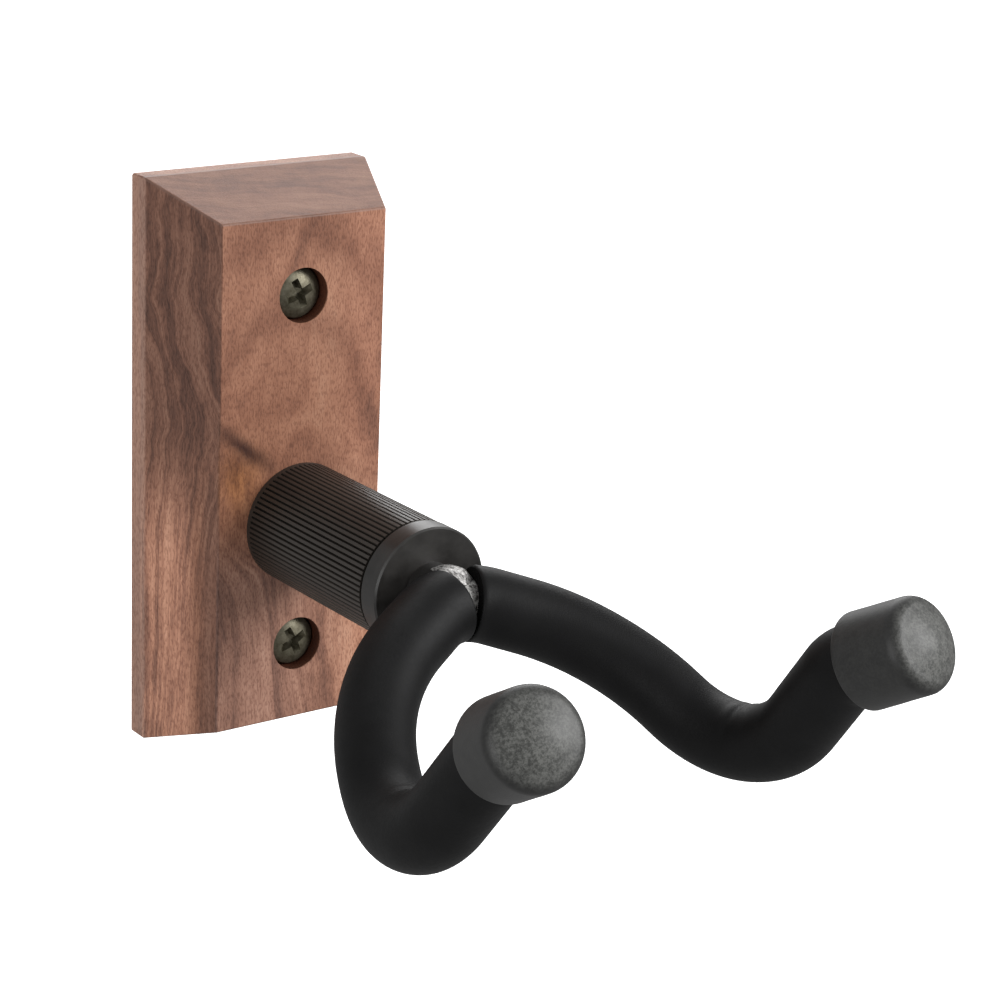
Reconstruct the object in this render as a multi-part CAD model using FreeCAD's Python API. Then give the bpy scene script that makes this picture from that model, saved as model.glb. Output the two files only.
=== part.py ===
import FreeCAD, Part
import math
import os

# Wall guitar hanger: a walnut block screwed to the wall carries a ribbed steel
# barrel, and a padded two-armed yoke turns on a spindle through both.
# Millimetres. The origin is the centre of the block's back face, which lies on
# the wall. +Y points into the wall, -Y into the room, +Z up, +X to the right
# seen from the room. All turned pieces share one axis, the swivel axis.

Vector = FreeCAD.Vector
INTO_WALL = Vector(0, 1, 0)
INTO_ROOM = Vector(0, -1, 0)

# Wooden block
BLOCK_WIDTH = 45.0
BLOCK_HEIGHT = 103.0
BLOCK_DEPTH = 20.0
SIDE_DEPTH = 4.0            # straight part of the sides, from the wall
BEVEL_SIDE = 6.0            # how far the long bevels come in at the front face
BEVEL_END = 5.6             # the same at the top and the bottom
EDGE_ROUND = 0.5

# Wall screws, one above the other on the block's centre line
SCREW_SPACING = 64.0
SEAT_RADIUS = 4.9           # counterbore round the screw head
SEAT_DEPTH = 4.6
SHANK_HOLE_RADIUS = 2.7
HEAD_RADIUS = 4.6
HEAD_HEIGHT = 3.5
HEAD_DOME_RADIUS = 9.0
HEAD_RIM_ROUND = 0.6
SHANK_RADIUS = 1.7          # plain shank, inside the wood
THREAD_RADIUS = 2.2         # over the crests, from the wall on
SCREW_REACH = 27.0          # how far the point goes into the wall
POINT_LENGTH = 5.0
CROSS_LENGTH = 6.2          # Phillips recess
CROSS_WIDTH = 1.5
CROSS_DEPTH = 2.0
CROSS_TURN_UPPER = 22.0
CROSS_TURN_LOWER = 25.0

# Swivel axis and the turned pieces on it; "reach" is the distance from the wall
AXIS_DROP = 9.0             # the axis is below the block's centre
BARREL_RADIUS = 10.8        # over the ribs
RIB_COUNT = 72
RIB_DEPTH = 0.45
BARREL_REACH = 56.0
SPIGOT_RADIUS = 8.0         # the barrel's tail, let into the wood
SPIGOT_LENGTH = 4.0
BARREL_BORE = 5.0
BUSH_RADIUS = 6.0
BUSH_LENGTH = 11.0
SPINDLE_RADIUS = 4.0
RUNNING_GAP = 0.05          # radial, spindle in bushes
FACE_GAP = 0.1              # between faces that turn past each other
THRUST_RADIUS = 10.0
THRUST_THICKNESS = 0.5
HEAD_DISC_RADIUS = 10.9
HEAD_DISC_REACH = 60.8
HEAD_CHAMFER = 0.3
STUB_RADIUS = 4.9
STUB_REACH = 65.6

# Fastening of the spindle, sunk into the back of the block
POCKET_RADIUS = 8.0
POCKET_DEPTH = 11.0
TAIL_RADIUS = 3.0           # M6 end of the spindle
TAIL_HOLE_RADIUS = 3.3
TAIL_REACH = 1.0            # its end stays this far inside the block
WASHER_RADIUS = 7.5
WASHER_THICKNESS = 1.5
DISC_SPRING_RADIUS = 6.5
DISC_SPRING_THICKNESS = 0.6
DISC_SPRING_RISE = 0.5
NUT_WASHER_THICKNESS = 0.8
NUT_FLATS = 10.0
NUT_THICKNESS = 4.6
NUT_CROWN_RADIUS = 4.4
NUT_CROWN_HEIGHT = 1.6
INSERT_RADIUS = 3.9
INSERT_THICKNESS = 1.2

# Yoke: one bent rod. Corners of the right arm, from the middle out, with the
# bend radius at each; the left arm is its mirror image.
ROD_RADIUS = 4.0
YOKE_CORNERS = [
    Vector(0.0, -66.8, -8.0),
    Vector(24.3, -78.2, -16.5),
    Vector(35.0, -105.4, -34.2),
    Vector(33.1, -126.0, -6.7),
    Vector(36.0, -139.6, 1.1),
]
BEND_RADII = [12.0, 40.0, 19.0, 8.0]
MIDDLE_BEND = 7             # its place among the runs and bends of the whole rod
FOAM_RADIUS = 6.4
FOAM_BORE = 4.1
FOAM_START_LEFT = 1.2       # along the rod, from its middle
FOAM_START_RIGHT = 2.4
FOAM_END_LEAN = 7.0         # degrees; brings the two ends together inside the bend
FOAM_SPARE = 2.0            # length cut away by the leaning end
CAP_RADIUS = 7.9
CAP_LENGTH = 14.0
CAP_SOCKET_RADIUS = 6.5
CAP_SOCKET_DEPTH = 10.0
CAP_FRONT_ROUND = 2.2
CAP_MOUTH_ROUND = 0.5
CAP_SLIP_LEFT = 0.5         # how far each cap sits out from the rod's last corner
CAP_SLIP_RIGHT = 1.8
ROD_END_GAP = 4.4           # from the end of rod and sleeve to the rod's last corner
WELD_SWELL = 0.8            # how far the weld stands proud of the stub
WELD_LEFT = 1.8             # its ends, left and right of the swivel axis
WELD_RIGHT = 3.8
WELD_START = 63.2           # its back and its front, from the wall
WELD_END = 70.2
NOTCH_GAP = 0.1             # foam clear of stub and weld


def axis_point(reach):
    """The point of the swivel axis at this distance from the wall."""
    return Vector(0, -reach, -AXIS_DROP)


def turned(profile):
    """A solid of revolution about the swivel axis, from (radius, reach) corners."""
    corners = [Vector(radius, -reach, -AXIS_DROP) for radius, reach in profile]
    face = Part.Face(Part.makePolygon(corners + corners[:1]))
    return face.revolve(axis_point(0), INTO_WALL, 360)


def ring(outer, inner, start, end):
    """A plain ring on the swivel axis between two distances from the wall."""
    return turned([(inner, start), (outer, start), (outer, end), (inner, end)])


def rod_along_y(radius, start, end, x=0.0, z=0.0):
    """A cylinder parallel to Y between two values of y."""
    return Part.makeCylinder(radius, end - start, Vector(x, start, z), INTO_WALL)


def rectangle(width, height, y):
    """A wire centred on the Y axis."""
    x, z = width / 2, height / 2
    corners = [Vector(-x, y, -z), Vector(x, y, -z), Vector(x, y, z), Vector(-x, y, z)]
    return Part.makePolygon(corners + corners[:1])


def wood_block():
    front_width = BLOCK_WIDTH - 2 * BEVEL_SIDE
    front_height = BLOCK_HEIGHT - 2 * BEVEL_END
    back = rectangle(BLOCK_WIDTH, BLOCK_HEIGHT, 0)
    shoulder = rectangle(BLOCK_WIDTH, BLOCK_HEIGHT, -SIDE_DEPTH)
    front = rectangle(front_width, front_height, -BLOCK_DEPTH)
    sides = Part.makeLoft([back, shoulder], True, True)
    bevels = Part.makeLoft([shoulder, front], True, True)
    block = sides.fuse(bevels).removeSplitter()
    seen_edges = [edge for edge in block.Edges if edge.BoundBox.YMin < -0.01]
    block = block.makeFillet(EDGE_ROUND, seen_edges)
    for z in (SCREW_SPACING / 2, -SCREW_SPACING / 2):
        seat = rod_along_y(SEAT_RADIUS, -BLOCK_DEPTH - 1, SEAT_DEPTH - BLOCK_DEPTH, z=z)
        hole = rod_along_y(SHANK_HOLE_RADIUS, -BLOCK_DEPTH - 1, 1, z=z)
        block = block.cut(seat).cut(hole)
    pocket = ring_hole(POCKET_RADIUS, -1, POCKET_DEPTH)
    tail_hole = ring_hole(TAIL_HOLE_RADIUS, -1, BLOCK_DEPTH + 1)
    spigot_seat = ring_hole(SPIGOT_RADIUS, BLOCK_DEPTH - SPIGOT_LENGTH, BLOCK_DEPTH + 1)
    return block.cut(pocket).cut(tail_hole).cut(spigot_seat)


def ring_hole(radius, start, end):
    """A solid cylinder on the swivel axis, for cutting."""
    return Part.makeCylinder(radius, end - start, axis_point(start), INTO_ROOM)


def cross_recess(y_top, z, turn):
    """A tapering cross to cut into a screw head whose top is at y_top."""
    def wing(width, height, y):
        wire = rectangle(width, height, y)
        wire.rotate(Vector(0, y, 0), INTO_ROOM, turn)
        wire.translate(Vector(0, 0, z))
        return wire
    bottom = y_top + CROSS_DEPTH
    above = y_top - 0.1
    narrow = 0.7 * CROSS_WIDTH
    short = 0.45 * CROSS_LENGTH
    across = [wing(CROSS_LENGTH, CROSS_WIDTH, above), wing(short, narrow, bottom)]
    upright = [wing(CROSS_WIDTH, CROSS_LENGTH, above), wing(narrow, short, bottom)]
    return Part.makeLoft(across, True, True).fuse(Part.makeLoft(upright, True, True))


def wall_screw(z, turn):
    """Pan-head screw: domed head on the seat, plain shank in the wood, thread in the wall."""
    seat = SEAT_DEPTH - BLOCK_DEPTH
    top = seat - HEAD_HEIGHT
    disc = rod_along_y(HEAD_RADIUS, top, seat, z=z)
    dome = Part.makeSphere(HEAD_DOME_RADIUS, Vector(0, top + HEAD_DOME_RADIUS, z))
    head = disc.common(dome)
    rims = [edge for edge in head.Edges if edge.BoundBox.YMax < seat - 0.1 and not edge.Degenerated]
    rims = [edge for edge in rims if edge.BoundBox.XLength > HEAD_RADIUS]
    head = head.makeFillet(HEAD_RIM_ROUND, rims)
    head = head.cut(cross_recess(top, z, turn))
    point_start = SCREW_REACH - POINT_LENGTH
    shank = rod_along_y(SHANK_RADIUS, seat, 0, z=z)
    thread = rod_along_y(THREAD_RADIUS, 0, point_start, z=z)
    point = Part.makeCone(THREAD_RADIUS, 0.2, POINT_LENGTH, Vector(0, point_start, z), INTO_WALL)
    return head.fuse(shank).fuse(thread).fuse(point)


def hub_barrel():
    """Tube with straight ribs all round, a tail let into the wood, seats for two bushes."""
    valley = BARREL_RADIUS - RIB_DEPTH
    body = ring(BARREL_RADIUS, BARREL_BORE, BLOCK_DEPTH, BARREL_REACH)
    half_groove = math.radians(0.27 * 360 / RIB_COUNT)
    wide = BARREL_RADIUS + 0.1
    corners = [
        Vector(valley, -BLOCK_DEPTH - 1, 0),
        Vector(wide, -BLOCK_DEPTH - 1, wide * math.tan(half_groove)),
        Vector(wide, -BLOCK_DEPTH - 1, -wide * math.tan(half_groove)),
    ]
    groove = Part.Face(Part.makePolygon(corners + corners[:1]))
    groove = groove.extrude(INTO_ROOM * (BARREL_REACH - BLOCK_DEPTH))
    groove.translate(Vector(0, 0, -AXIS_DROP))
    grooves = []
    for index in range(RIB_COUNT):
        cut = groove.copy()
        cut.rotate(axis_point(0), INTO_WALL, index * 360 / RIB_COUNT)
        grooves.append(cut)
    body = body.cut(Part.makeCompound(grooves))
    tail = ring(SPIGOT_RADIUS, BARREL_BORE, BLOCK_DEPTH - SPIGOT_LENGTH, BLOCK_DEPTH)
    rear_seat = ring_hole(BUSH_RADIUS, BLOCK_DEPTH - SPIGOT_LENGTH, BLOCK_DEPTH - SPIGOT_LENGTH + BUSH_LENGTH)
    front_seat = ring_hole(BUSH_RADIUS, BARREL_REACH - BUSH_LENGTH, BARREL_REACH)
    return body.fuse(tail).cut(rear_seat).cut(front_seat)


def bush(start):
    return ring(BUSH_RADIUS, SPINDLE_RADIUS + RUNNING_GAP, start, start + BUSH_LENGTH)


def thrust_washer():
    inner = SPINDLE_RADIUS + 0.3
    return ring(THRUST_RADIUS, inner, BARREL_REACH, BARREL_REACH + THRUST_THICKNESS)


def swivel_head():
    """The smooth front disc that the yoke is welded to."""
    back = BARREL_REACH + THRUST_THICKNESS + FACE_GAP
    front = HEAD_DISC_REACH
    small = 0.35 * HEAD_CHAMFER
    return turned([
        (SPINDLE_RADIUS, back),
        (HEAD_DISC_RADIUS - small, back),
        (HEAD_DISC_RADIUS, back + small),
        (HEAD_DISC_RADIUS, front - HEAD_CHAMFER),
        (HEAD_DISC_RADIUS - HEAD_CHAMFER, front),
        (SPINDLE_RADIUS, front),
    ])


def spindle():
    """Stub in front of the disc, shaft through the bushes, M6 tail through the wood."""
    shaft_end = BLOCK_DEPTH - SPIGOT_LENGTH + 0.5
    tail_chamfer = 0.5
    solid = turned([
        (0, TAIL_REACH),
        (TAIL_RADIUS - tail_chamfer, TAIL_REACH),
        (TAIL_RADIUS, TAIL_REACH + tail_chamfer),
        (TAIL_RADIUS, shaft_end),
        (SPINDLE_RADIUS, shaft_end),
        (SPINDLE_RADIUS, HEAD_DISC_REACH),
        (STUB_RADIUS, HEAD_DISC_REACH),
        (STUB_RADIUS, STUB_REACH),
        (0, STUB_REACH),
    ])
    return solid.cut(tube(yoke_route(), ROD_RADIUS))


def pocket_stack():
    """Distances from the wall at which the washers, spring and nut begin and end."""
    floor = POCKET_DEPTH
    washer = floor - WASHER_THICKNESS
    spring = washer - DISC_SPRING_THICKNESS - DISC_SPRING_RISE
    nut_washer = spring - NUT_WASHER_THICKNESS
    nut = nut_washer - FACE_GAP
    return floor, washer, spring, nut_washer, nut


def rear_washer():
    floor, washer, _, _, _ = pocket_stack()
    return ring(WASHER_RADIUS, TAIL_HOLE_RADIUS, washer, floor)


def disc_spring():
    """Conical washer: its wide edge sits on the washer, its narrow edge under the nut."""
    _, washer, spring, _, _ = pocket_stack()
    return turned([
        (DISC_SPRING_RADIUS, washer),
        (DISC_SPRING_RADIUS, washer - DISC_SPRING_THICKNESS),
        (TAIL_HOLE_RADIUS, spring),
        (TAIL_HOLE_RADIUS, spring + DISC_SPRING_THICKNESS),
    ])


def nut_washer():
    _, _, spring, nut_washer_end, _ = pocket_stack()
    return ring(0.8 * WASHER_RADIUS, TAIL_HOLE_RADIUS, nut_washer_end, spring)


def lock_nut():
    """Hexagon with a round crown that holds a plastic ring."""
    _, _, _, _, top = pocket_stack()
    across_corners = NUT_FLATS / math.cos(math.radians(30))
    corners = []
    for index in range(6):
        angle = math.radians(60 * index)
        offset = Vector(math.cos(angle), 0, math.sin(angle)) * (across_corners / 2)
        corners.append(axis_point(top) + offset)
    hexagon = Part.Face(Part.makePolygon(corners + corners[:1]))
    body = hexagon.extrude(INTO_WALL * NUT_THICKNESS)
    flat = NUT_FLATS / 2
    slope = 0.5
    trim = turned([
        (0, top),
        (flat + slope, top),
        (flat + 3 * slope, top - slope),
        (flat + 3 * slope, top - NUT_THICKNESS + slope),
        (flat + slope, top - NUT_THICKNESS),
        (0, top - NUT_THICKNESS),
    ])
    crown = ring(NUT_CROWN_RADIUS, 0.5, top - NUT_THICKNESS - NUT_CROWN_HEIGHT, top - NUT_THICKNESS)
    insert_room = ring_hole(INSERT_RADIUS, top - NUT_THICKNESS - INSERT_THICKNESS, top - NUT_THICKNESS)
    tapped = ring_hole(TAIL_RADIUS, -1, top + 1)
    return body.common(trim).fuse(crown).cut(insert_room).cut(tapped)


def lock_nut_insert():
    _, _, _, _, top = pocket_stack()
    start = top - NUT_THICKNESS - INSERT_THICKNESS
    return ring(INSERT_RADIUS, TAIL_RADIUS, start, top - NUT_THICKNESS)


def mirrored(point):
    return Vector(-point.x, point.y, point.z)


def yoke_route():
    """Runs and bends of the whole rod, from the left tip to the right tip."""
    left = [mirrored(point) for point in reversed(YOKE_CORNERS[1:])]
    corners = left + YOKE_CORNERS
    radii = BEND_RADII[:0:-1] + BEND_RADII
    return bent_route(corners, radii)


def bent_route(corners, radii):
    """Straight runs joined by tangent arcs: ("run", start, end) or
    ("bend", start, centre, axis, degrees), in order along the route."""
    route = []
    here = corners[0]
    for before, corner, after, radius in zip(corners, corners[1:], corners[2:], radii):
        arriving = (corner - before).normalize()
        leaving = (after - corner).normalize()
        turn = arriving.getAngle(leaving)
        setback = radius * math.tan(turn / 2)
        start = corner - arriving * setback
        axis = arriving.cross(leaving).normalize()
        centre = start + axis.cross(arriving) * radius
        route.append(("run", here, start))
        route.append(("bend", start, centre, axis, math.degrees(turn)))
        here = corner + leaving * setback
    route.append(("run", here, corners[-1]))
    return route


def stretch_length(stretch):
    if stretch[0] == "run":
        return (stretch[2] - stretch[1]).Length
    return (stretch[1] - stretch[2]).Length * math.radians(stretch[4])


def route_length(route):
    return sum(stretch_length(stretch) for stretch in route)


def turned_about(point, centre, axis, degrees):
    return centre + FreeCAD.Rotation(axis, degrees).multVec(point - centre)


def part_of_route(route, start, end):
    """The stretches of a route between two distances along it."""
    kept = []
    passed = 0.0
    for stretch in route:
        length = stretch_length(stretch)
        first = max(start - passed, 0) / length
        last = min(end - passed, length) / length
        passed += length
        if last - first < 1e-6:
            continue
        if stretch[0] == "run":
            along = stretch[2] - stretch[1]
            kept.append(("run", stretch[1] + along * first, stretch[1] + along * last))
        else:
            _, begin, centre, axis, degrees = stretch
            begin = turned_about(begin, centre, axis, degrees * first)
            kept.append(("bend", begin, centre, axis, degrees * (last - first)))
    return kept


def tube(route, outer, inner=0.0):
    """A round tube or rod along a route: one cylinder or torus piece per stretch."""
    pieces = []
    for stretch in route:
        begin = stretch[1]
        if stretch[0] == "run":
            forward = stretch[2] - begin
        else:
            forward = stretch[3].cross(begin - stretch[2])
        section = Part.Face(Part.Wire(Part.makeCircle(outer, begin, forward)))
        if inner:
            section = section.cut(Part.Face(Part.Wire(Part.makeCircle(inner, begin, forward))))
            section = section.Faces[0]
        if stretch[0] == "run":
            pieces.append(section.extrude(forward))
        else:
            pieces.append(section.revolve(stretch[2], stretch[3], stretch[4]))
    if len(pieces) == 1:
        return pieces[0]
    return pieces[0].multiFuse(pieces[1:])


def yoke_rod():
    route = yoke_route()
    return tube(part_of_route(route, ROD_END_GAP, route_length(route) - ROD_END_GAP), ROD_RADIUS)


def sleeve(side, outer, inner=0.0, margin=0.0):
    """A tube over one arm. Its end at the middle of the yoke leans with the bend, and
    margin moves that end on towards the middle."""
    route = yoke_route()
    length = route_length(route)
    start = FOAM_START_LEFT if side < 0 else FOAM_START_RIGHT
    if side < 0:
        covered = part_of_route(route, ROD_END_GAP, length / 2 - start + FOAM_SPARE)
    else:
        covered = part_of_route(route, length / 2 + start - FOAM_SPARE, length - ROD_END_GAP)
    _, begin, centre, axis, degrees = route[MIDDLE_BEND]
    turn = degrees / 2 + side * math.degrees(start / BEND_RADII[0])
    end = turned_about(begin, centre, axis, turn)
    onward = axis.cross(end - centre).normalize() * -side
    onward = FreeCAD.Rotation(axis, side * FOAM_END_LEAN).multVec(onward)
    spare = Part.makeCylinder(2 * FOAM_RADIUS, FOAM_RADIUS, end + onward * margin, onward)
    return tube(covered, outer, inner).cut(spare)


def foam_sleeve(side):
    """Foam tube over one arm, into the cap's socket, notched where it meets the stub."""
    notch = ring_hole(STUB_RADIUS + NOTCH_GAP, BLOCK_DEPTH, STUB_REACH + NOTCH_GAP)
    return sleeve(side, FOAM_RADIUS, FOAM_BORE).cut(notch)


def end_cap(side):
    """Rubber cup pushed over the end of the sleeve, with a rounded front edge."""
    tip = YOKE_CORNERS[-1]
    outward = (tip - YOKE_CORNERS[-2]).normalize()
    tip = tip + outward * (CAP_SLIP_LEFT if side < 0 else CAP_SLIP_RIGHT)
    if side < 0:
        tip = mirrored(tip)
        outward = mirrored(outward)
    mouth = tip - outward * CAP_LENGTH
    body = Part.makeCylinder(CAP_RADIUS, CAP_LENGTH, mouth, outward)
    body = body.makeFillet(CAP_FRONT_ROUND, rings_at(body, tip))
    body = body.makeFillet(CAP_MOUTH_ROUND, rings_at(body, mouth))
    socket = Part.makeCylinder(CAP_SOCKET_RADIUS, CAP_SOCKET_DEPTH, mouth, outward)
    return body.cut(socket)


def rings_at(shape, centre):
    """The circular edges of a shape round this centre."""
    circles = [edge for edge in shape.Edges if isinstance(edge.Curve, Part.Circle)]
    return [edge for edge in circles if (edge.Curve.Center - centre).Length < 1e-6]


def weld_beads():
    """Weld metal above and below the joint of rod and stub, between the sleeves."""
    centre = axis_point(STUB_REACH)
    mound = Part.makeSphere(STUB_RADIUS + WELD_SWELL, centre)
    height = 4 * STUB_RADIUS
    corner = Vector(-WELD_LEFT, -WELD_END, -AXIS_DROP - height / 2)
    slab = Part.makeBox(WELD_LEFT + WELD_RIGHT, WELD_END - WELD_START, height, corner)
    beads = mound.common(slab).cut(ring_hole(STUB_RADIUS, BLOCK_DEPTH, STUB_REACH))
    beads = beads.cut(tube(yoke_route(), ROD_RADIUS))
    for side in (-1, 1):
        beads = beads.cut(sleeve(side, FOAM_RADIUS + NOTCH_GAP, margin=NOTCH_GAP))
    return beads


def main():
    rear_bush_start = BLOCK_DEPTH - SPIGOT_LENGTH
    nodes = {
        "wood_block": wood_block(),
        "wall_screw_upper": wall_screw(SCREW_SPACING / 2, CROSS_TURN_UPPER),
        "wall_screw_lower": wall_screw(-SCREW_SPACING / 2, CROSS_TURN_LOWER),
        "hub_barrel": hub_barrel(),
        "rear_bush": bush(rear_bush_start),
        "front_bush": bush(BARREL_REACH - BUSH_LENGTH),
        "thrust_washer": thrust_washer(),
        "rear_washer": rear_washer(),
        "disc_spring": disc_spring(),
        "nut_washer": nut_washer(),
        "lock_nut": lock_nut(),
        "lock_nut_insert": lock_nut_insert(),
        "spindle": spindle(),
        "swivel_head": swivel_head(),
        "yoke_rod": yoke_rod(),
        "weld_beads": weld_beads(),
        "foam_sleeve_left": foam_sleeve(-1),
        "foam_sleeve_right": foam_sleeve(1),
        "end_cap_left": end_cap(-1),
        "end_cap_right": end_cap(1),
    }
    os.makedirs("parts", exist_ok=True)
    for name, shape in nodes.items():
        shape.exportStep(os.path.join("parts", name + ".step"))
        print(name, shape.isValid(), len(shape.Solids), round(shape.Volume, 1))


main()
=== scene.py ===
import math

import bmesh
import bpy
from mathutils import Matrix, Vector, noise


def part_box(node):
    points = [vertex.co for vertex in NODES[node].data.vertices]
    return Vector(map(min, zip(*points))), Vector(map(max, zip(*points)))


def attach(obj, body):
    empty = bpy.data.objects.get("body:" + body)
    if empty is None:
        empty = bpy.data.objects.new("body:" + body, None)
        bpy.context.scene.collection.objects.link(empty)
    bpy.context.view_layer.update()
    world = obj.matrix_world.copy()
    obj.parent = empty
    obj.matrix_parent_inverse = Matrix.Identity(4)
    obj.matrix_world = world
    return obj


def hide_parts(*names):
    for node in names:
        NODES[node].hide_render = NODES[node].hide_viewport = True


# Wall guitar hanger: a walnut block, a ribbed black barrel, and a two-armed yoke
# in black foam with grey rubber caps. Metres, in the frame of the CAD model:
# +Y into the wall, -Y into the room, +Z up. MM turns millimetres into metres.

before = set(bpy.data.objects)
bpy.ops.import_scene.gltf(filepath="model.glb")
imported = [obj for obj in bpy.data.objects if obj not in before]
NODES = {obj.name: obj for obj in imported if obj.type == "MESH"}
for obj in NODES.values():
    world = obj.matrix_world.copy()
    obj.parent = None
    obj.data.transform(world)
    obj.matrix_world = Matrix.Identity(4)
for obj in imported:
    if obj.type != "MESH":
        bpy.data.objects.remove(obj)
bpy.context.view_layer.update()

MM = 0.001
BASE = "base"
YOKE = "yoke"

# The yoke's rod, as the CAD model bends it: corners of the right arm from the
# middle out, and the bend radius at each. The left arm mirrors it.
ROD_CORNERS = [
    Vector((0.0, -66.8, -8.0)) * MM,
    Vector((24.3, -78.2, -16.5)) * MM,
    Vector((35.0, -105.4, -34.2)) * MM,
    Vector((33.1, -126.0, -6.7)) * MM,
    Vector((36.0, -139.6, 1.1)) * MM,
]
BEND_RADII = [12.0 * MM, 40.0 * MM, 19.0 * MM, 8.0 * MM]
VALLEY_BEND = 2             # which corner of an arm is the bottom of its dip
FOAM_RADIUS = 6.4 * MM
FOAM_BORE = 4.1 * MM
FOAM_START = {-1: 1.2 * MM, 1: 2.4 * MM}
FOAM_END_LEAN = math.radians(7.0)
TIP_GAP = 4.4 * MM          # from the end of the foam to the rod's last corner
CAP_SLIP = {-1: 0.5 * MM, 1: 1.8 * MM}
CAP_RADIUS = 7.9 * MM
CAP_SOCKET = 6.5 * MM
CAP_LENGTH = 14.0 * MM
CAP_SOCKET_DEPTH = 10.0 * MM
STUB_RADIUS = 4.95 * MM
STUB_TAPER = 2.8 * MM       # the spindle's front, shaped to the rod, lies before the stub's
CUT_RADIUS = 5.9 * MM       # inside this radius the foam's surface is a cut one
LEAN_FADE = 5.0 * MM        # the leaning end of the foam straightens over this length

# The block, barrel and screws of the CAD model, in millimetres for the materials.
BLOCK_DEPTH = 20.0
FACE_HALF_WIDTH = 16.5      # of the front face, inside the bevels
FACE_HALF_HEIGHT = 45.9
SIDE_SLOPE = 0.375          # how fast the long bevels widen towards the wall
END_SLOPE = 0.35
SCREW_HEIGHT = 32.0         # above and below the block's centre
SEAT_RADIUS = 5.1           # just outside the drilled seat
AXIS_DROP = 9.0             # the swivel's axis lies this far below the block's centre


# ---------------------------------------------------------------- materials


class Look:
    """A material under construction: one Principled shader and what feeds it."""

    def __init__(self, name, constants):
        self.material = bpy.data.materials.new(name)
        self.material.use_nodes = True
        self.tree = self.material.node_tree
        self.shader = self.tree.nodes["Principled BSDF"]
        for socket, value in constants.items():
            self.shader.inputs[socket].default_value = value
        self.place = self.add("ShaderNodeTexCoord", {}, {}).outputs["Object"]

    def add(self, kind, settings, inputs):
        node = self.tree.nodes.new(kind)
        for key, value in settings.items():
            setattr(node, key, value)
        for key, value in inputs.items():
            if isinstance(value, bpy.types.NodeSocket):
                self.tree.links.new(value, node.inputs[key])
            else:
                node.inputs[key].default_value = value
        return node

    def scaled(self, vector, per_mm):
        """A vector in metres, scaled so that 1 is one millimetre times per_mm."""
        scale = [factor / MM for factor in per_mm]
        return self.add("ShaderNodeMapping", {}, {"Vector": vector, "Scale": scale}).outputs[0]

    def noise(self, vector, detail=2.0, roughness=0.5):
        inputs = {"Vector": vector, "Scale": 1.0, "Detail": detail, "Roughness": roughness}
        return self.add("ShaderNodeTexNoise", {}, inputs).outputs[0]

    def cells(self, vector):
        inputs = {"Vector": vector, "Scale": 1.0}
        return self.add("ShaderNodeTexVoronoi", {}, inputs).outputs["Distance"]

    def math(self, operation, first, second=0.0):
        return self.add("ShaderNodeMath", {"operation": operation}, {0: first, 1: second}).outputs[0]

    def total(self, *values):
        result = values[0]
        for value in values[1:]:
            result = self.math("ADD", result, value)
        return result

    def times(self, first, second):
        return self.math("MULTIPLY", first, second)

    def larger(self, first, second):
        return self.math("MAXIMUM", first, second)

    def length(self, first, second):
        return self.math("SQRT", self.total(self.times(first, first), self.times(second, second)))

    def swing(self, value, size):
        """A value from 0 to 1, moved to swing about zero, times a size."""
        return self.times(self.math("SUBTRACT", value, 0.5), size)

    def between(self, value, low, high):
        """0 below low, 1 above high, smooth between; the other way round if low > high."""
        settings = {"interpolation_type": "SMOOTHSTEP"}
        if low < high:
            inputs = {0: value, 1: low, 2: high, 3: 0.0, 4: 1.0}
        else:
            inputs = {0: value, 1: high, 2: low, 3: 1.0, 4: 0.0}
        return self.add("ShaderNodeMapRange", settings, inputs).outputs[0]

    def span(self, value, low, high):
        """A value from 0 to 1, stretched over low to high."""
        return self.add("ShaderNodeMapRange", {}, {0: value, 3: low, 4: high}).outputs[0]

    def ramp(self, value, stops):
        node = self.add("ShaderNodeValToRGB", {}, {0: value})
        elements = node.color_ramp.elements
        while len(elements) < len(stops):
            elements.new(0.5)
        for element, (position, colour) in zip(elements, stops):
            element.position = position
            element.color = (*colour, 1.0)
        return node.outputs[0]

    def mix(self, factor, first, second, blend="MIX"):
        settings = {"data_type": "RGBA", "blend_type": blend}
        node = self.add("ShaderNodeMix", settings, {0: factor})
        for socket, colour in ((node.inputs[6], first), (node.inputs[7], second)):
            if isinstance(colour, bpy.types.NodeSocket):
                self.tree.links.new(colour, socket)
            else:
                socket.default_value = (*colour, 1.0)
        return node.outputs[2]

    def tint(self, colour, mask, amount, by):
        """The colour multiplied by another where the mask is 1, by this share of it."""
        return self.mix(self.times(mask, amount), colour, by, "MULTIPLY")

    def coordinates(self):
        """Object X, Y and Z in millimetres."""
        return self.add("ShaderNodeSeparateXYZ", {}, {0: self.scaled(self.place, (1, 1, 1))}).outputs

    def hump(self, first, second, centre, reach):
        """A smooth hill, 1 at its centre, over two coordinates."""
        away = []
        for value, middle, half in zip((first, second), centre, reach):
            offset = self.times(self.math("SUBTRACT", value, middle), 1 / half)
            away.append(self.times(offset, offset))
        return self.math("POWER", math.e, self.times(self.total(*away), -1.0))

    def ridge(self, value, centre, reach):
        """A smooth hill over one value."""
        offset = self.times(self.math("SUBTRACT", value, centre), 1 / reach)
        return self.math("POWER", math.e, self.times(self.times(offset, offset), -1.0))

    def vector(self, x, y, z):
        return self.add("ShaderNodeCombineXYZ", {}, {0: x, 1: y, 2: z}).outputs[0]

    def bump(self, height, depth, strength=1.0):
        """Relief of this depth, in millimetres, on top of any relief already there."""
        inputs = {"Height": height, "Distance": depth * MM, "Strength": strength}
        if self.shader.inputs["Normal"].links:
            inputs["Normal"] = self.shader.inputs["Normal"].links[0].from_socket
        result = self.add("ShaderNodeBump", {}, inputs).outputs[0]
        self.tree.links.new(result, self.shader.inputs["Normal"])

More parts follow.
